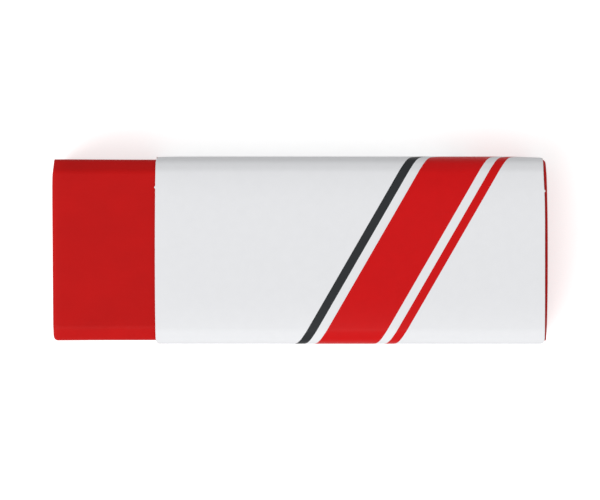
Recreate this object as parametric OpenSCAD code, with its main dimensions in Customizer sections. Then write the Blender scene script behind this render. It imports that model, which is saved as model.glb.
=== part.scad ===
// A block eraser in its folded card sleeve, lying on its wide face.
// The origin is on the surface that it lies on, under the middle of the whole.
// X runs along the block with the bare working end at -X, Y runs across it, and Z is up.

/* [Rubber block] */
// Length of the block between its two cut ends
block_l = 65; // [45:0.5:90]
// Width of the block across its wide faces
block_w = 23.7; // [18:0.1:32]
// Thickness of the block between its wide faces
block_h = 12; // [9:0.1:18]
// Radius of the four long edges
long_edge_r = 1.8; // [0.8:0.1:3]
// Radius of the edges round the two cut ends
end_edge_r = 0.5; // [0.2:0.05:0.7]

/* [Card sleeve] */
// Length of the sleeve along the block
sleeve_l = 51.05; // [38:0.05:64]
// Distance from the sleeve's far mouth to the far end of the block
far_inset = 0.45; // [0.05:0.01:1]
// Thickness of the card
card_t = 0.2; // [0.15:0.01:0.4]
// Gap between the block and the card, the same all round
sliding_gap = 0.1; // [0.05:0.01:0.2]
// How far the two free edges of the glued lap stop short of the next fold
lap_setback = 0.5; // [0.2:0.1:2]
// How far each end of the glue flap is cut back along its free edge
flap_cut_back = 2; // [0.5:0.1:6]

/* [Print] */
// Lean of the printed bands towards the far end on the far side, in degrees
band_lean = 30; // [0:1:40]
// Distance from the near mouth to the middle of the broad band, on the front's centre line
band_from_mouth = 32.5; // [20:0.1:40]
// Width of the broad band, measured along the sleeve
band_w = 7.9; // [3:0.1:12]
// Width of the thin line on each side of it, measured along the sleeve
line_w = 1.3; // [0.5:0.1:3]
// Bare card between the broad band and each line, measured along the sleeve
line_gap = 1.3; // [0.5:0.1:4]

/* [Hidden] */
$fn = 96;

RUBBER_RED = [0.74, 0.12, 0.12];
CARD_WHITE = [0.93, 0.93, 0.94];
PRINT_RED = [0.81, 0.11, 0.12];
PRINT_GREY = [0.20, 0.20, 0.21];

// The inside of the sleeve follows the block, and its outside follows the card.
cavity_w = block_w + 2 * sliding_gap;
cavity_h = block_h + 2 * sliding_gap;
fold_in_r = long_edge_r + sliding_gap;
fold_r = fold_in_r + card_t;

// The near side wall is two layers of card, so the sleeve is one layer wider there.
sleeve_w = cavity_w + 3 * card_t;
sleeve_h = cavity_h + 2 * card_t;
block_y = card_t / 2;
block_z = card_t + sliding_gap;
sleeve_x = block_l / 2 - far_inset - sleeve_l;

// The five panels of the strip in order, and the flat width of each.
PANELS = ["glue_flap", "back", "far_side", "front", "near_side"];
FRONT = search(["front"], PANELS)[0];
LAST = len(PANELS) - 1;
side_flat = cavity_h - 2 * fold_in_r;
back_flat = cavity_w - 2 * fold_in_r;
front_flat = back_flat + card_t;
lap_flat = side_flat - lap_setback;
FLATS = [lap_flat, back_flat, side_flat, front_flat, lap_flat];

// Distance between the middles of the broad band and of each thin line.
line_step = band_w / 2 + line_gap + line_w / 2;

// Length of one fold round its outside, and where each panel's middle lies on the strip.
fold_run = fold_r * PI / 2;
function strip_start(i) = i == 0 ? 0 : strip_start(i - 1) + FLATS[i - 1] + fold_run;
function strip_middle(i) = strip_start(i) + FLATS[i] / 2;

// Plan of a rectangle centred on the origin with round corners
module rounded_rect(size, r) {
    square([size.x - 2 * r, size.y], center = true);
    square([size.x, size.y - 2 * r], center = true);
    for (sx = [-1, 1], sy = [-1, 1])
        translate([sx * (size.x / 2 - r), sy * (size.y / 2 - r)])
            circle(r);
}

// Round bar along X whose end edges are rounded as well
module soft_bar(l, r, end_r) {
    rotate([0, 90, 0])
        rotate_extrude()
            intersection() {
                rounded_rect([2 * r, l], end_r);
                translate([0, -l / 2])
                    square([r, l]);
            }
}

// The block: two crossed slabs fill between four soft bars, one along each long edge.
module soft_block(l, w, h, edge_r, end_r) {
    rotate([90, 0, 0])
        linear_extrude(height = w - 2 * edge_r, center = true)
            rounded_rect([l, h], end_r);
    linear_extrude(height = h - 2 * edge_r, center = true)
        rounded_rect([l, w], end_r);
    for (sy = [-1, 1], sz = [-1, 1])
        translate([0, sy * (w / 2 - edge_r), sz * (h / 2 - edge_r)])
            soft_bar(l, edge_r, end_r);
}

module eraser_block() {
    color(RUBBER_RED)
        translate([0, block_y, block_z + block_h / 2])
            soft_block(block_l, block_w, block_h, long_edge_r, end_edge_r);
}

// Puts a piece on panel i of the folded strip. There X runs along the sleeve, Y along the
// strip from the panel's first fold line, and Z inwards from the card's outer face.
module on_panel(i) {
    if (i == 0)
        translate([sleeve_x, card_t - sleeve_w / 2, fold_r + lap_flat])
            rotate([-90, 0, 0])
                children();
    else
        on_panel(i - 1)
            translate([0, FLATS[i - 1] + fold_r, fold_r])
                rotate([90, 0, 0])
                    children();
}

// The glue flap, whose ends are cut back so that they stay inside the mouths
module glue_flap() {
    linear_extrude(height = card_t)
        polygon([
            [flap_cut_back, 0], [sleeve_l - flap_cut_back, 0],
            [sleeve_l, lap_flat], [0, lap_flat]
        ]);
}

// The quarter turn of card that follows a panel of this flat width
module fold_after(flat) {
    translate([0, flat, fold_r])
        rotate([0, 90, 0])
            rotate_extrude(angle = 90)
                translate([fold_in_r, 0])
                    square([card_t, sleeve_l]);
}

// The whole strip, folded four times and lapped on the near side
module folded_card() {
    for (i = [0:LAST])
        on_panel(i) {
            if (i == 0)
                glue_flap();
            else
                cube([sleeve_l, FLATS[i], card_t]);
            if (i < LAST)
                fold_after(FLATS[i]);
        }
}

// Half of the fold on either side of a panel of this flat width, and the panel between them
module panel_sector(flat) {
    rotate([90, 0, 90])
        linear_extrude(height = sleeve_l)
            polygon([[-fold_r, 0], [flat + fold_r, 0], [flat, fold_r], [0, fold_r]]);
}

// Outline of a leaning band on one panel: w is its width along the sleeve, from_front is how
// far along the strip the panel lies from the front, and reach is half the length it crosses
module band_outline(w, from_front, reach) {
    start_x = -tan(band_lean) * (from_front - reach);
    end_x = -tan(band_lean) * (from_front + reach);
    polygon([
        [start_x - w / 2, -reach], [start_x + w / 2, -reach],
        [end_x + w / 2, reach], [end_x - w / 2, reach]
    ]);
}

// A band that runs straight over the flat strip, its middle at from_mouth on the front's centre
module printed_band(from_mouth, w) {
    for (i = [0:LAST])
        on_panel(i)
            intersection() {
                panel_sector(FLATS[i]);
                translate([from_mouth, FLATS[i] / 2, 0])
                    linear_extrude(height = fold_r)
                        band_outline(w, strip_middle(i) - strip_middle(FRONT), FLATS[i] / 2 + fold_r);
            }
}

module red_print() {
    printed_band(band_from_mouth, band_w);
    printed_band(band_from_mouth + line_step, line_w);
}

module grey_print() {
    printed_band(band_from_mouth - line_step, line_w);
}

module sleeve() {
    color(CARD_WHITE)
        difference() {
            folded_card();
            red_print();
            grey_print();
        }
    color(PRINT_RED)
        intersection() {
            folded_card();
            red_print();
        }
    color(PRINT_GREY)
        intersection() {
            folded_card();
            grey_print();
        }
}

eraser_block();
sleeve();
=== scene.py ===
# A block eraser in its folded card sleeve, lying on its wide face and seen from straight above.
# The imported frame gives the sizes. This script makes the rubber, the card with its print,
# the light and the camera. Lengths are in millimetres until a vertex or an object is written.
import math

import bmesh
import bpy
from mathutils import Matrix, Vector, noise


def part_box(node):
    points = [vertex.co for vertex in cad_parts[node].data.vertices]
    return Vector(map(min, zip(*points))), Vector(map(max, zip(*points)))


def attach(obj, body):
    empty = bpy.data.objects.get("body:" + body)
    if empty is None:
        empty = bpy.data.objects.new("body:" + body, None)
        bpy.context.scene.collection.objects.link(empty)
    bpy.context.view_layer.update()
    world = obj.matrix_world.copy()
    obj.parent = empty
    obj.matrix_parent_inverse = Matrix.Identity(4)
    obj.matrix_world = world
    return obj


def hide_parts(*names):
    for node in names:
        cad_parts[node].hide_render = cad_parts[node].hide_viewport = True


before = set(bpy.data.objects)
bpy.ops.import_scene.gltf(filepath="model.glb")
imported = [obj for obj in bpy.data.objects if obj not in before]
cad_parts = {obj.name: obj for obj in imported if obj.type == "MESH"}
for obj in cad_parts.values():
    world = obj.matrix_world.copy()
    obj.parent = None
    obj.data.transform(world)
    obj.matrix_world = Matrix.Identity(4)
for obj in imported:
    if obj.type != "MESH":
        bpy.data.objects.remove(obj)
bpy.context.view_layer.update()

MM = 0.001


def box_mm(node):
    """A node's lowest and highest corners, in millimetres."""
    low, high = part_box(node)
    return [v / MM for v in low], [v / MM for v in high]


# Sizes that the frame gives
BLOCK_LOW, BLOCK_HIGH = box_mm("eraser_block")
SLEEVE_LOW, SLEEVE_HIGH = box_mm("sleeve")
BLOCK_L, BLOCK_W, BLOCK_H = (high - low for low, high in zip(BLOCK_LOW, BLOCK_HIGH))
BLOCK_Y = (BLOCK_LOW[1] + BLOCK_HIGH[1]) / 2
BLOCK_Z = (BLOCK_LOW[2] + BLOCK_HIGH[2]) / 2
SLEEVE_L, SLEEVE_W, SLEEVE_H = (high - low for low, high in zip(SLEEVE_LOW, SLEEVE_HIGH))

# Sizes that repeat the construction's own
LONG_EDGE_R = 1.8
END_EDGE_R = 0.5
CARD_T = 0.2
SLIDING_GAP = 0.1
LAP_SETBACK = 0.5
FLAP_CUT_BACK = 2.0
FOLD_R = LONG_EDGE_R + SLIDING_GAP + CARD_T
SIDE_FLAT = SLEEVE_H - 2 * FOLD_R
FRONT_FLAT = SLEEVE_W - 2 * FOLD_R
BACK_FLAT = FRONT_FLAT - CARD_T
LAP_FLAT = SIDE_FLAT - LAP_SETBACK
BAND_LEAN = math.radians(30)
BAND_FROM_MOUTH = 32.5
BAND_W = 7.9
LINE_W = 1.3
LINE_GAP = 1.3

# The long edges of the block, which slant more than a true rounding would
EDGE_SLANT = math.radians(35)
SLANT_RUN = 1.08
FACE_ROUND_R = 1.3
SIDE_ROUND_R = 0.9

# How far the rubber block departs from true, where it was cut, pressed and worn
FAR_END_BOW = 0.22
FAR_END_PEAK = -0.05
BOW_POWER = 2.5
NEAR_END_SKEW = 0.14
SKEWED_FROM = 0.59
CORNER_WEAR = 0.23
WORN_FROM = 0.76
OTHER_CORNER_WEAR = 0.07
OTHER_WORN_FROM = 0.93
WEAR_POWER = 1.5
SHARP_FROM = 0.8
SHARP_SHARE = 0.15
NEAR_END_SWELL = 0.055
FAR_CORNER_SWELL = 0.08
SWELL_REACH = 12.0
RUBBER_WAVE = 0.02
RUBBER_WAVE_SPAN = 7.0

# How far the card's springy panels and its mouths depart from true
FRONT_CROWN = 0.36
FAR_SIDE_CROWN = 0.205
NEAR_SIDE_CROWN = 0.08
CROWN_START = 0.55
CROWN_REACH = 0.80
FOLD_FLATTENING = 0.07
FLATTENED_AT = 0.65
FLATTEN_REACH = 0.6
LAP_LIFT = 0.04
LAP_REACH = 0.8
CARD_RIM = 0.03
CUT_REACH = 1.0
NEAR_CUT_BOW = 0.08
FAR_CUT_OUT = 0.03
NICK_OUT = 0.13
NICK_HALF_W = 0.14
NEAR_NICK_Y = 8.3
FAR_NICK_Y = 7.8
NICK_REACH = 1.5 * CARD_RIM


# Mesh helpers

def new_piece(name, mesh_maker, materials):
    """Makes a smooth-shaded mesh object from a bmesh in millimetres."""
    bm = mesh_maker()
    bmesh.ops.scale(bm, vec=(MM, MM, MM), verts=bm.verts)
    bmesh.ops.recalc_face_normals(bm, faces=bm.faces)
    mesh = bpy.data.meshes.new(name)
    bm.to_mesh(mesh)
    bm.free()
    mesh.shade_smooth()
    for material in materials:
        mesh.materials.append(material)
    piece = bpy.data.objects.new(name, mesh)
    bpy.context.scene.collection.objects.link(piece)
    return piece


def even_steps(start, end, pitch):
    """Evenly spaced values from start to end, about a pitch apart, both ends included."""
    count = max(1, round(abs(end - start) / pitch))
    return [start + (end - start) * i / count for i in range(count + 1)]


def join_rings(bm, rings, slots=None):
    """Quads between each ring of vertices and the next."""
    for r, (ring, following) in enumerate(zip(rings, rings[1:])):
        for i in range(len(ring)):
            j = (i + 1) % len(ring)
            face = bm.faces.new((ring[i], ring[j], following[j], following[i]))
            face.material_index = slots[r] if slots else 0


# The rubber block

SKIN, CUT = 0, 1
BLOCK_PITCH = 1.0
EDGE_STEPS = 7
END_EDGE_STEPS = 6
CAP_RINGS = 10


def long_edge():
    """Points over a long edge, from the side to the wide face: how far each lies in and down."""
    down = SIDE_ROUND_R * math.cos(EDGE_SLANT)
    down += SLANT_RUN * math.sin(EDGE_SLANT)
    down += FACE_ROUND_R * (1 - math.cos(EDGE_SLANT))
    points = []
    for step in range(EDGE_STEPS + 1):
        angle = math.pi / 2 - (math.pi / 2 - EDGE_SLANT) * step / EDGE_STEPS
        across = SIDE_ROUND_R - SIDE_ROUND_R * math.sin(angle)
        points.append((across, down - SIDE_ROUND_R * math.cos(angle)))
    face_from = points[-1][0] + SLANT_RUN * math.cos(EDGE_SLANT)
    face_from += FACE_ROUND_R * math.sin(EDGE_SLANT)
    for step in range(EDGE_STEPS + 1):
        angle = EDGE_SLANT * (1 - step / EDGE_STEPS)
        across = face_from - FACE_ROUND_R * math.sin(angle)
        points.append((across, FACE_ROUND_R * (1 - math.cos(angle))))
    return points


def block_section():
    """Points round the block's section, from its +Y side upwards."""
    points = []
    for turn, (sy, sz) in enumerate([(1, 1), (-1, 1), (-1, -1), (1, -1)]):
        along_width = turn % 2 == 0
        edge = long_edge() if along_width else long_edge()[::-1]
        for across, down in edge:
            points.append((sy * (BLOCK_W / 2 - across), sz * (BLOCK_H / 2 - down)))
        y, z = points[-1]
        run = 2 * abs(y if along_width else z)
        for moved in even_steps(0, run, BLOCK_PITCH)[1:-1]:
            points.append((y - sy * moved, z) if along_width else (y, z - sz * moved))
    return points


SECTION = block_section()


def past(across, start):
    """How far this share of the half width is past a start, from 0 there to 1 at the side."""
    return max(0.0, across - start) / (1 - start)


def rounding_kept(far, across):
    """The share of its rounding that an end edge keeps: one upright edge of each end is sharp."""
    return 1 - (1 - SHARP_SHARE) * past(-across if far else across, SHARP_FROM)


def widening(x_share, y):
    """How far the block's side stands out: both sides at the near end, one at the far end."""
    near = NEAR_END_SWELL * max(0.0, 1 - x_share * BLOCK_L / SWELL_REACH)
    far = FAR_CORNER_SWELL * max(0.0, 1 - (1 - x_share) * BLOCK_L / SWELL_REACH)
    return near + far if y < 0 else near


def end_x(far, y):
    """Where the cut end of the block lies at this distance from its middle line."""
    across = y / (BLOCK_W / 2)
    if far:
        return BLOCK_HIGH[0] - FAR_END_BOW * abs(across - FAR_END_PEAK) ** BOW_POWER
    skew = NEAR_END_SKEW * max(0.0, SKEWED_FROM - across) / (SKEWED_FROM + 1)
    wear = CORNER_WEAR * past(across, WORN_FROM) ** WEAR_POWER
    other_wear = OTHER_CORNER_WEAR * past(-across, OTHER_WORN_FROM) ** WEAR_POWER
    return BLOCK_LOW[0] + skew + wear + other_wear


def rubber_wave(x, y, z):
    """A slow unevenness of the rubber, at most RUBBER_WAVE either way."""
    return RUBBER_WAVE * noise.noise(Vector((x, y, z)) / RUBBER_WAVE_SPAN)


def make_block():
    """The block as rings along X, each closed end a set of shrinking rings."""
    bm = bmesh.new()
    rings, slots = [], []

    def add_ring(far, back, inset=0.0, size=1.0, slot=SKIN):
        """A ring this far back from an end and this far in from the skin, then scaled by size."""
        ring = []
        for y, z in SECTION:
            kept = rounding_kept(far, y / (BLOCK_W / 2)) if back <= END_EDGE_R else 1
            share = back * kept / BLOCK_L
            if far:
                share = 1 - share
            y *= size * (1 - inset * kept / (BLOCK_W / 2))
            z *= size * (1 - inset / (BLOCK_H / 2))
            x = end_x(False, y) * (1 - share) + end_x(True, y) * share
            swell = 1 + rubber_wave(x, y, z) / BLOCK_H
            across = y * (swell + widening(share, y) / (BLOCK_W / 2))
            ring.append(bm.verts.new((x, BLOCK_Y + across, BLOCK_Z + z * swell)))
        rings.append(ring)
        slots.append(slot)

    def add_end(far):
        """The rings of an end: out over its cut face, then round its edge."""
        made = [(0.0, END_EDGE_R, step / CAP_RINGS, CUT) for step in range(1, CAP_RINGS + 1)]
        for step in range(1, END_EDGE_STEPS + 1):
            angle = math.pi / 2 * step / END_EDGE_STEPS
            back = END_EDGE_R * (1 - math.cos(angle))
            inset = END_EDGE_R * (1 - math.sin(angle))
            made.append((back, inset, 1.0, SKIN))
        for back, inset, size, slot in reversed(made) if far else made:
            add_ring(far, back, inset, size, slot)

    add_end(False)
    for x in even_steps(END_EDGE_R, BLOCK_L - END_EDGE_R, BLOCK_PITCH)[1:-1]:
        add_ring(False, x)
    add_end(True)

    # A strip of quads takes the finish of its outer ring's kind, and each end closes in a fan.
    strip_slots = [CUT if CUT in (a, b) else SKIN for a, b in zip(slots, slots[1:])]
    join_rings(bm, rings, strip_slots)
    for ring, far in ((rings[0], False), (rings[-1], True)):
        middle = bm.verts.new((end_x(far, 0), BLOCK_Y, BLOCK_Z))
        for i in range(len(ring)):
            face = bm.faces.new((ring[i], ring[(i + 1) % len(ring)], middle))
            face.material_index = CUT
    return bm


# The card strip, laid out flat: x along the sleeve from its near mouth, u along the strip
# from the glue flap's free edge, and depth inwards from the printed face

WHITE, RED, GREY, INSIDE, EDGE = range(5)
FLATS = [LAP_FLAT, BACK_FLAT, SIDE_FLAT, FRONT_FLAT, LAP_FLAT]
FLAP, BACK, FAR_SIDE, FRONT, NEAR_SIDE = range(5)
CROWNS = [NEAR_SIDE_CROWN, 0.0, FAR_SIDE_CROWN, FRONT_CROWN, NEAR_SIDE_CROWN]
FOLD_RUN = FOLD_R * math.pi / 2
CARD_PITCH = 0.8
COLUMNS = round(SLEEVE_L / CARD_PITCH)
FOLD_STEPS = 12
NICK_STEPS = 5
LEAST_ROW_GAP = CARD_RIM / 2
PANEL_START = [sum(FLATS[:i]) + i * FOLD_RUN for i in range(len(FLATS))]
STRIP_L = PANEL_START[-1] + FLATS[-1]
FRONT_MIDDLE = PANEL_START[FRONT] + FRONT_FLAT / 2
FRONT_HALF = (FRONT_FLAT + FOLD_RUN) / 2

# How near counts as on a cut, as the same depth and as the same place along the strip
ON_THE_CUT = 0.01
SAME_DEPTH = 1e-4
SAME_PLACE = 1e-9

# The share of each panel's crown that is lost at a mouth, and how far in from it: near, then far
LAP_CLOSINGS = ((0.45, 18.0), (0.0, 1.0))
CLOSINGS = [
    LAP_CLOSINGS,
    ((0.0, 1.0), (0.0, 1.0)),
    ((0.45, 1.5), (1.56, 1.6)),
    ((0.3, 2.6), (0.05, 2.6)),
    LAP_CLOSINGS,
]

# Where a mouth is worn or cut back: the place along the strip, how far the wear runs on from
# it, how softly it starts and stops, and how far back it goes
FAR_LOWER_FOLD = PANEL_START[FAR_SIDE]
FAR_UPPER_FOLD = PANEL_START[FAR_SIDE] + SIDE_FLAT
NEAR_UPPER_FOLD = PANEL_START[NEAR_SIDE]
TO_FREE_EDGE = STRIP_L - NEAR_UPPER_FOLD
NEAR_MOUTH_WEAR = [
    (FAR_LOWER_FOLD, 0.0, 0.7, 0.2),
    (FAR_UPPER_FOLD, 0.0, 0.85, 0.3),
    (NEAR_UPPER_FOLD, TO_FREE_EDGE, 0.85, 0.3),
]
FAR_MOUTH_WEAR = [
    (FAR_LOWER_FOLD, 0.0, 0.7, 0.2),
    (FAR_UPPER_FOLD, 0.0, 0.9, 0.41),
    (FAR_UPPER_FOLD + 2.2, 0.0, 3.7, 0.2),
    (NEAR_UPPER_FOLD, TO_FREE_EDGE, 0.8, 0.38),
]


def front_u(y):
    """The place along the strip of a point of the front at this Y."""
    return FRONT_MIDDLE - y


def card_rows():
    """Places along the strip: closer in the folds and about the two nicks."""
    rows = [0.0, CARD_RIM, 2 * CARD_RIM]
    for i, flat in enumerate(FLATS):
        start = PANEL_START[i]
        rows += even_steps(start, start + flat, CARD_PITCH)
        if i < len(FLATS) - 1:
            rows += [start + flat + FOLD_RUN * step / FOLD_STEPS for step in range(1, FOLD_STEPS)]
    nick_steps = range(-NICK_STEPS, NICK_STEPS + 1)
    for nick_y in (NEAR_NICK_Y, FAR_NICK_Y):
        rows += [front_u(nick_y) + NICK_HALF_W * step / 2 for step in nick_steps]
    rows += [STRIP_L - 2 * CARD_RIM, STRIP_L - CARD_RIM, STRIP_L]
    rows.sort()
    kept = [rows[0]]
    for u in rows[1:]:
        if u - kept[-1] > LEAST_ROW_GAP:
            kept.append(u)
    kept[-1] = STRIP_L
    return kept


def mouth_margin(u):
    """How far the glue flap's slanting ends stand back from the mouths at this row."""
    return FLAP_CUT_BACK * max(0.0, 1 - u / LAP_FLAT)


def card_row(bm, u):
    """The printed and the inner side of the card at this row, each with its rounded rims."""
    margin = mouth_margin(u)
    near, far = margin, SLEEVE_L - margin
    at_free_edge = u <= 0 or u >= STRIP_L
    top = CARD_RIM if at_free_edge else 0.0
    columns = [near + (far - near) * i / COLUMNS for i in range(1, COLUMNS)]
    xs = [near + CARD_RIM, near + 2 * CARD_RIM] + columns + [far - 2 * CARD_RIM, far - CARD_RIM]
    profile = [(near, top + CARD_RIM)] + [(x, top) for x in xs] + [(far, top + CARD_RIM)]
    printed = [bm.verts.new((x, u, depth)) for x, depth in profile]
    inner = [bm.verts.new((x, u, CARD_T - depth)) for x, depth in profile]
    return printed, inner


def make_flat_card():
    """The strip as a thin closed slab, cut along the edges of its printed bands."""
    bm = bmesh.new()
    rows = [card_row(bm, u) for u in card_rows()]
    join_rings(bm, [printed + inner[::-1] for printed, inner in rows])
    for printed, inner in (rows[0], rows[-1]):
        for i in range(len(printed) - 1):
            bm.faces.new((printed[i], printed[i + 1], inner[i + 1], inner[i]))
    for edge in band_edges():
        bmesh.ops.bisect_plane(
            bm,
            geom=bm.verts[:] + bm.edges[:] + bm.faces[:],
            dist=ON_THE_CUT,
            plane_co=(edge, FRONT_MIDDLE, 0),
            plane_no=(1, math.tan(BAND_LEAN), 0),
        )
    for face in bm.faces:
        face.material_index = card_finish(face)
    return bm


def printed_bands():
    """Each band's two edges, as distances from the near mouth on the front's centre line."""
    step = BAND_W / 2 + LINE_GAP + LINE_W / 2
    middles = [
        (BAND_FROM_MOUTH, BAND_W, RED),
        (BAND_FROM_MOUTH + step, LINE_W, RED),
        (BAND_FROM_MOUTH - step, LINE_W, GREY),
    ]
    return [(middle - w / 2, middle + w / 2, ink) for middle, w, ink in middles]


def band_edges():
    """All edges of the printed bands, as places along the front's centre line."""
    return [edge for start, end, _ in printed_bands() for edge in (start, end)]


def card_finish(face):
    """The finish of a face of the flat card, from where it lies."""
    depths = [vert.co.z for vert in face.verts]
    if min(depths) > CARD_T - SAME_DEPTH:
        return INSIDE
    if max(depths) > SAME_DEPTH:
        return EDGE
    centre = face.calc_center_median()
    along = centre.x + math.tan(BAND_LEAN) * (centre.y - FRONT_MIDDLE)
    for start, end, ink in printed_bands():
        if start < along < end:
            return ink
    return WHITE


# Folding the flat card round the block

def fold_stretches():
    """Flats and folds in order, each with its start on the strip, its place and its heading."""
    y, z = CARD_T - SLEEVE_W / 2, FOLD_R + LAP_FLAT
    heading = -math.pi / 2
    u = 0.0
    stretches = []
    for flat in FLATS:
        stretches.append(("flat", u, y, z, heading))
        y += flat * math.cos(heading)
        z += flat * math.sin(heading)
        u += flat
        stretches.append(("fold", u, y, z, heading))
        y += FOLD_R * (math.cos(heading) - math.sin(heading))
        z += FOLD_R * (math.sin(heading) + math.cos(heading))
        u += FOLD_RUN
        heading += math.pi / 2
    return stretches[:-1]


STRETCHES = fold_stretches()


def on_folded_card(u):
    """Place and outward normal of the printed face at this distance along the strip."""
    kind, start, y, z, heading = [s for s in STRETCHES if s[1] <= u + SAME_PLACE][-1]
    run = u - start
    if kind == "flat":
        normal = (math.sin(heading), -math.cos(heading))
        return y + run * math.cos(heading), z + run * math.sin(heading), normal
    centre_y = y - FOLD_R * math.sin(heading)
    centre_z = z + FOLD_R * math.cos(heading)
    turned = heading + run / FOLD_R
    normal = (math.sin(turned), -math.cos(turned))
    return centre_y + FOLD_R * normal[0], centre_z + FOLD_R * normal[1], normal


def rise(distance):
    """From 0 near the middle of a fold to 1 well away from it, with a soft start."""
    scaled = max(0.0, distance - CROWN_START) / CROWN_REACH
    return 1 - (1 + scaled + scaled ** 2 / 2) * math.exp(-scaled)


def between_mouths(x, panel):
    """The share of its crown that a panel keeps at this distance from the near mouth."""
    (near, near_reach), (far, far_reach) = CLOSINGS[panel]
    return 1 - near * math.exp(-x / near_reach) - far * math.exp((x - SLEEVE_L) / far_reach)


def flattening(u):
    """How far the two front folds are pressed down where they leave the front."""
    from_fold = FRONT_HALF - FLATTENED_AT - abs(u - FRONT_MIDDLE)
    return FOLD_FLATTENING * math.exp(-(from_fold / FLATTEN_REACH) ** 2)


def card_lift(x, u):
    """How far the springy card stands out from the true folded shape."""
    after = [i for i, start in enumerate(PANEL_START) if u >= start - FOLD_RUN / 2]
    panel = after[-1]
    from_fold = u - PANEL_START[panel] + FOLD_RUN / 2
    to_fold = PANEL_START[panel] + FLATS[panel] + FOLD_RUN / 2 - u
    # The two panels of the lap bulge as one, so each is measured between the same two folds.
    if panel == FLAP:
        from_fold = u + LAP_SETBACK + FOLD_RUN / 2
    if panel == NEAR_SIDE:
        to_fold += LAP_SETBACK
    lift = CROWNS[panel] * rise(from_fold) * rise(to_fold) * between_mouths(x, panel)
    lift -= flattening(u)
    if panel == NEAR_SIDE:
        lift += LAP_LIFT * math.exp((u - STRIP_L) / LAP_REACH)
    return lift


def mouth_move(x, u):
    """A move along x at the mouths: stubs left by the cutting, a bowed cut, and worn corners."""
    moved = 0.0
    near_setback = NEAR_CUT_BOW * min(1.0, abs(u - FRONT_MIDDLE) / FRONT_HALF) ** 2
    for mouth, outwards, nick_y, setback, wear in (
        (0.0, -1, NEAR_NICK_Y, near_setback, NEAR_MOUTH_WEAR),
        (SLEEVE_L, 1, FAR_NICK_Y, -FAR_CUT_OUT, FAR_MOUTH_WEAR),
    ):
        inside = abs(x - mouth)
        if inside < NICK_REACH:
            moved += outwards * NICK_OUT * math.exp(-((u - front_u(nick_y)) / NICK_HALF_W) ** 4)
        for worn_u, run, softness, depth in wear:
            away = max(worn_u - u, 0.0, u - worn_u - run)
            setback += depth * math.exp(-(away / softness) ** 2)
        moved -= outwards * setback * math.exp(-inside / CUT_REACH)
    return moved


def make_sleeve():
    """The flat card folded round the block."""
    bm = make_flat_card()
    for vert in bm.verts:
        x, u, depth = vert.co
        y, z, normal = on_folded_card(u)
        out = card_lift(x, u) - depth
        vert.co = (SLEEVE_LOW[0] + x + mouth_move(x, u), y + normal[0] * out, z + normal[1] * out)
    return bm


# Materials

class Finish:
    """A node material, with one short call for each kind of node that it needs."""

    def __init__(self, name):
        self.material = bpy.data.materials.new(name)
        self.material.use_nodes = True
        self.tree = self.material.node_tree
        self.shader = self.tree.nodes["Principled BSDF"]
        self.place = self.tree.nodes.new("ShaderNodeTexCoord").outputs["Object"]

    def set(self, **sockets):
        """Sets sockets of the shader, with _ for each space in a name."""
        for name, value in sockets.items():
            self.shader.inputs[name.replace("_", " ")].default_value = value

    def link(self, source, socket):
        self.tree.links.new(source, socket)

    def drive(self, name, source):
        """Feeds a node's output to a socket of the shader."""
        self.link(source, self.shader.inputs[name])

    def stretched(self, scale):
        """The object's own coordinates, scaled along each axis."""
        mapping = self.tree.nodes.new("ShaderNodeMapping")
        mapping.inputs["Scale"].default_value = scale
        self.link(self.place, mapping.inputs["Vector"])
        return mapping.outputs["Vector"]

    def noise(self, per_metre, detail=2.0, place=None):
        """Grey noise with this many lumps to the metre, or on stretched coordinates."""
        node = self.tree.nodes.new("ShaderNodeTexNoise")
        node.inputs["Scale"].default_value = per_metre
        node.inputs["Detail"].default_value = detail
        self.link(place or self.place, node.inputs["Vector"])
        return node.outputs["Fac"]

    def range(self, source, low, high, from_low=0.3, from_high=0.7):
        """Brings a grey value into a range."""
        node = self.tree.nodes.new("ShaderNodeMapRange")
        node.inputs["From Min"].default_value = from_low
        node.inputs["From Max"].default_value = from_high
        node.inputs["To Min"].default_value = low
        node.inputs["To Max"].default_value = high
        self.link(source, node.inputs["Value"])
        return node.outputs["Result"]

    def shades(self, factor, colour, first, last):
        """A colour that varies between two shares of itself."""
        node = self.tree.nodes.new("ShaderNodeMix")
        node.data_type = "RGBA"
        self.link(factor, node.inputs["Factor"])
        for socket, share in (("A", first), ("B", last)):
            node.inputs[socket].default_value = (*(channel * share for channel in colour), 1)
        return node.outputs["Result"]

    def bump(self, height, depth_mm, below=None):
        """Relief of this real depth, laid on any relief below it."""
        node = self.tree.nodes.new("ShaderNodeBump")
        node.inputs["Distance"].default_value = depth_mm * MM
        self.link(height, node.inputs["Height"])
        if below:
            self.link(below, node.inputs["Normal"])
        return node.outputs["Normal"]


# Colours in linear light, then how glossy each surface is and how far its roughness varies
RUBBER_RED = (0.505, 0.0045, 0.0042)
INK_RED = (0.58, 0.0035, 0.0045)
INK_GREY = (0.023, 0.0255, 0.028)
COATED_WHITE = (0.779, 0.785, 0.804)
FIBRE_WHITE = (0.84, 0.835, 0.82)
INSIDE_WHITE = (0.74, 0.73, 0.70)
RUBBER_GLOSS = 0.10
COATING_GLOSS = 0.12
FIBRE_GLOSS = 0.25
COATING_SPREAD = 0.03
FIBRE_SPREAD = 0.05

# Light that gets under the rubber's surface
UNDER_SHARE = 0.06
UNDER_REACH_M = 0.0006
UNDER_RADII = (1.0, 0.25, 0.2)

# What shows on each surface, as lumps to the metre, along x, y and z where these differ
SKIN_CLOUD = 260
SKIN_SATIN = 1400
SKIN_LINES = (70, 2600, 2600)
SKIN_GRAIN = 9000
CUT_MARKS = (300, 2200, 110)
CUT_GRAIN = 6000
COATING_CLOUD = 900
COATING_SATIN = 2200
COATING_PEEL = 1300
COATING_GRAIN = 7000
FIBRES = (2600, 900, 900)
FIBRE_GRAIN = 5200


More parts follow.
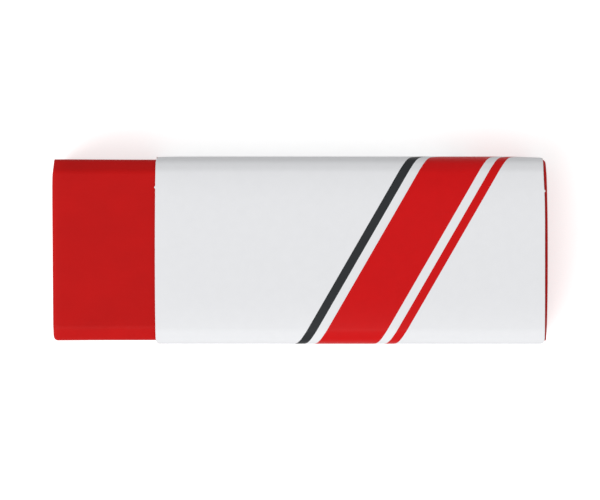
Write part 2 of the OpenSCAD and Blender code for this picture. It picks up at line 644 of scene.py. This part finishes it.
def set_rubber(f):
    """What the skin and the cuts share: a low gloss, and light that gets under the surface."""
    f.set(
        Specular_IOR_Level=RUBBER_GLOSS,
        Subsurface_Weight=UNDER_SHARE,
        Subsurface_Scale=UNDER_REACH_M,
        Subsurface_Radius=UNDER_RADII,
    )


def rubber_skin():
    """The pressed faces: satin, with a fine grain and faint lines along the block."""
    f = Finish("rubber_skin")
    cloud = f.range(f.noise(SKIN_CLOUD), 0, 1)
    f.drive("Base Color", f.shades(cloud, RUBBER_RED, first=0.965, last=1.03))
    f.drive("Roughness", f.range(f.noise(SKIN_SATIN, detail=3), 0.47, 0.56))
    lines = f.bump(f.noise(1, place=f.stretched(SKIN_LINES)), depth_mm=0.006)
    f.drive("Normal", f.bump(f.noise(SKIN_GRAIN, detail=3), depth_mm=0.004, below=lines))
    set_rubber(f)
    return f.material


def rubber_cut():
    """The cut ends: duller, with the knife's marks from top to bottom."""
    f = Finish("rubber_cut")
    marks = f.noise(1, detail=4, place=f.stretched(CUT_MARKS))
    cloud = f.range(marks, 0, 1)
    f.drive("Base Color", f.shades(cloud, RUBBER_RED, first=0.95, last=1.06))
    f.drive("Roughness", f.range(marks, 0.56, 0.68))
    cuts = f.bump(marks, depth_mm=0.02)
    f.drive("Normal", f.bump(f.noise(CUT_GRAIN, detail=4), depth_mm=0.008, below=cuts))
    set_rubber(f)
    return f.material


def coated_card(name, colour, roughness, mottle):
    """The smooth outer face of the card, bare or under ink."""
    f = Finish(name)
    cloud = f.range(f.noise(COATING_CLOUD, detail=4), 0, 1)
    f.drive("Base Color", f.shades(cloud, colour, first=1 - mottle, last=1 + mottle))
    satin = f.noise(COATING_SATIN)
    f.drive("Roughness", f.range(satin, roughness - COATING_SPREAD, roughness + COATING_SPREAD))
    peel = f.bump(f.noise(COATING_PEEL), depth_mm=0.0025)
    f.drive("Normal", f.bump(f.noise(COATING_GRAIN, detail=3), depth_mm=0.0012, below=peel))
    f.set(Specular_IOR_Level=COATING_GLOSS)
    return f.material


def bare_card(name, colour, roughness, relief_mm):
    """Uncoated card: its inside and its cut edges, with fibres that show."""
    f = Finish(name)
    fibres = f.noise(1, detail=5, place=f.stretched(FIBRES))
    cloud = f.range(fibres, 0, 1)
    f.drive("Base Color", f.shades(cloud, colour, first=0.93, last=1.03))
    f.drive("Roughness", f.range(fibres, roughness - FIBRE_SPREAD, roughness + FIBRE_SPREAD))
    f.drive("Normal", f.bump(f.noise(FIBRE_GRAIN, detail=5), relief_mm))
    f.set(Specular_IOR_Level=FIBRE_GLOSS)
    return f.material


block = new_piece("rubber_block", make_block, [rubber_skin(), rubber_cut()])
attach(block, "eraser")
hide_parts("eraser_block")

sleeve = new_piece("card_sleeve", make_sleeve, [
    coated_card("coated_white", COATED_WHITE, roughness=0.40, mottle=0.008),
    coated_card("printed_red", INK_RED, roughness=0.36, mottle=0.02),
    coated_card("printed_grey", INK_GREY, roughness=0.36, mottle=0.05),
    bare_card("card_inside", INSIDE_WHITE, roughness=0.85, relief_mm=0.01),
    bare_card("card_edge", FIBRE_WHITE, roughness=0.8, relief_mm=0.02),
])
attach(sleeve, "sleeve")
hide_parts("sleeve")


# Floor, world and lamps

FLOOR_SIZE = 4.0
FLOOR_WHITE = 0.82
FLOOR_CLOUD = 3
FLOOR_DARKEST = 0.995
FLOOR_ROUGHNESS = 0.9
FLOOR_CAMERA_LIFT = 0.57
SKY_LEVEL = 0.5
KEY_LEVEL = 0.5
KEY_TOWARDS = (-0.28, -0.30, 0.5)
KEY_DISTANCE = 2.4
KEY_SIZE = 1.87


def light_path_any(tree, *rays):
    """1 for a ray of any of these kinds, else 0."""
    path = tree.nodes.new("ShaderNodeLightPath")
    result = path.outputs[rays[0]]
    for ray in rays[1:]:
        either = tree.nodes.new("ShaderNodeMath")
        either.operation = "MAXIMUM"
        tree.links.new(result, either.inputs[0])
        tree.links.new(path.outputs[ray], either.inputs[1])
        result = either.outputs["Value"]
    return result


def make_floor():
    """A pale plain floor that reads as white and keeps the shadow."""
    f = Finish("pale_floor")
    cloud = f.range(f.noise(FLOOR_CLOUD), 0, 1)
    f.drive("Base Color", f.shades(cloud, (FLOOR_WHITE,) * 3, first=1, last=FLOOR_DARKEST))
    f.set(Roughness=FLOOR_ROUGHNESS, Specular_IOR_Level=0.0, Emission_Color=(1, 1, 1, 1))
    seen = light_path_any(f.tree, "Is Camera Ray")
    f.drive("Emission Strength", f.range(seen, 0, FLOOR_CAMERA_LIFT, from_low=0, from_high=1))
    bm = bmesh.new()
    bmesh.ops.create_grid(bm, x_segments=1, y_segments=1, size=FLOOR_SIZE / 2)
    mesh = bpy.data.meshes.new("floor")
    bm.to_mesh(mesh)
    bm.free()
    mesh.materials.append(f.material)
    floor = bpy.data.objects.new("floor", mesh)
    bpy.context.scene.collection.objects.link(floor)


def make_world():
    """An even pale sky, white where the camera or a reflection sees it."""
    world = bpy.data.worlds.new("studio")
    bpy.context.scene.world = world
    world.use_nodes = True
    tree = world.node_tree
    sky = tree.nodes["Background"]
    sky.inputs["Color"].default_value = (1, 1, 1, 1)
    seen = light_path_any(tree, "Is Camera Ray", "Is Glossy Ray", "Is Transmission Ray")
    level = tree.nodes.new("ShaderNodeMapRange")
    level.inputs["To Min"].default_value = SKY_LEVEL
    level.inputs["To Max"].default_value = 1.0
    tree.links.new(seen, level.inputs["Value"])
    tree.links.new(level.outputs["Result"], sky.inputs["Strength"])


def lamp_view(size, distance):
    """The share of a facing surface's light that a square lamp of radiance 1 sends it."""
    half = size / 2 / distance
    leaning = half / math.sqrt(1 + half ** 2)
    return 4 / math.pi * leaning * math.atan(leaning)


def add_softbox(name, towards, distance, size, level):
    """A square lamp in this direction that lights level ground at this level."""
    direction = Vector(towards).normalized()
    radiance = level / (lamp_view(size, distance) * direction.z)
    lamp = bpy.data.lights.new(name, "AREA")
    lamp.shape = "SQUARE"
    lamp.size = size
    lamp.energy = radiance * math.pi * size ** 2
    holder = bpy.data.objects.new(name, lamp)
    holder.location = direction * distance
    holder.rotation_euler = direction.to_track_quat("Z", "Y").to_euler()
    bpy.context.scene.collection.objects.link(holder)


make_floor()
make_world()
add_softbox("key", KEY_TOWARDS, KEY_DISTANCE, KEY_SIZE, KEY_LEVEL)
bpy.context.scene.view_settings.view_transform = "Standard"


# The camera looks straight down, as the photograph does. The scale holds at the height of the
# block's rim, and the block's middle lies a little below the picture's.

PHOTO_W_PX = 600
SENSOR_MM = 36.0
CAMERA_HEIGHT = 600.0
PX_PER_MM = 7.627
BLOCK_RIM_Z = 11.9
BELOW_CENTRE_PX = 0.6
CLIP_START_M = 0.01

focal_px = PX_PER_MM * (CAMERA_HEIGHT - BLOCK_RIM_Z)
camera_data = bpy.data.cameras.new("camera")
camera_data.sensor_width = SENSOR_MM
camera_data.lens = SENSOR_MM * focal_px / PHOTO_W_PX
camera_data.clip_start = CLIP_START_M
camera = bpy.data.objects.new("camera", camera_data)
camera.location = (0, BELOW_CENTRE_PX / PX_PER_MM * MM, CAMERA_HEIGHT * MM)
bpy.context.scene.collection.objects.link(camera)
bpy.context.scene.camera = camera
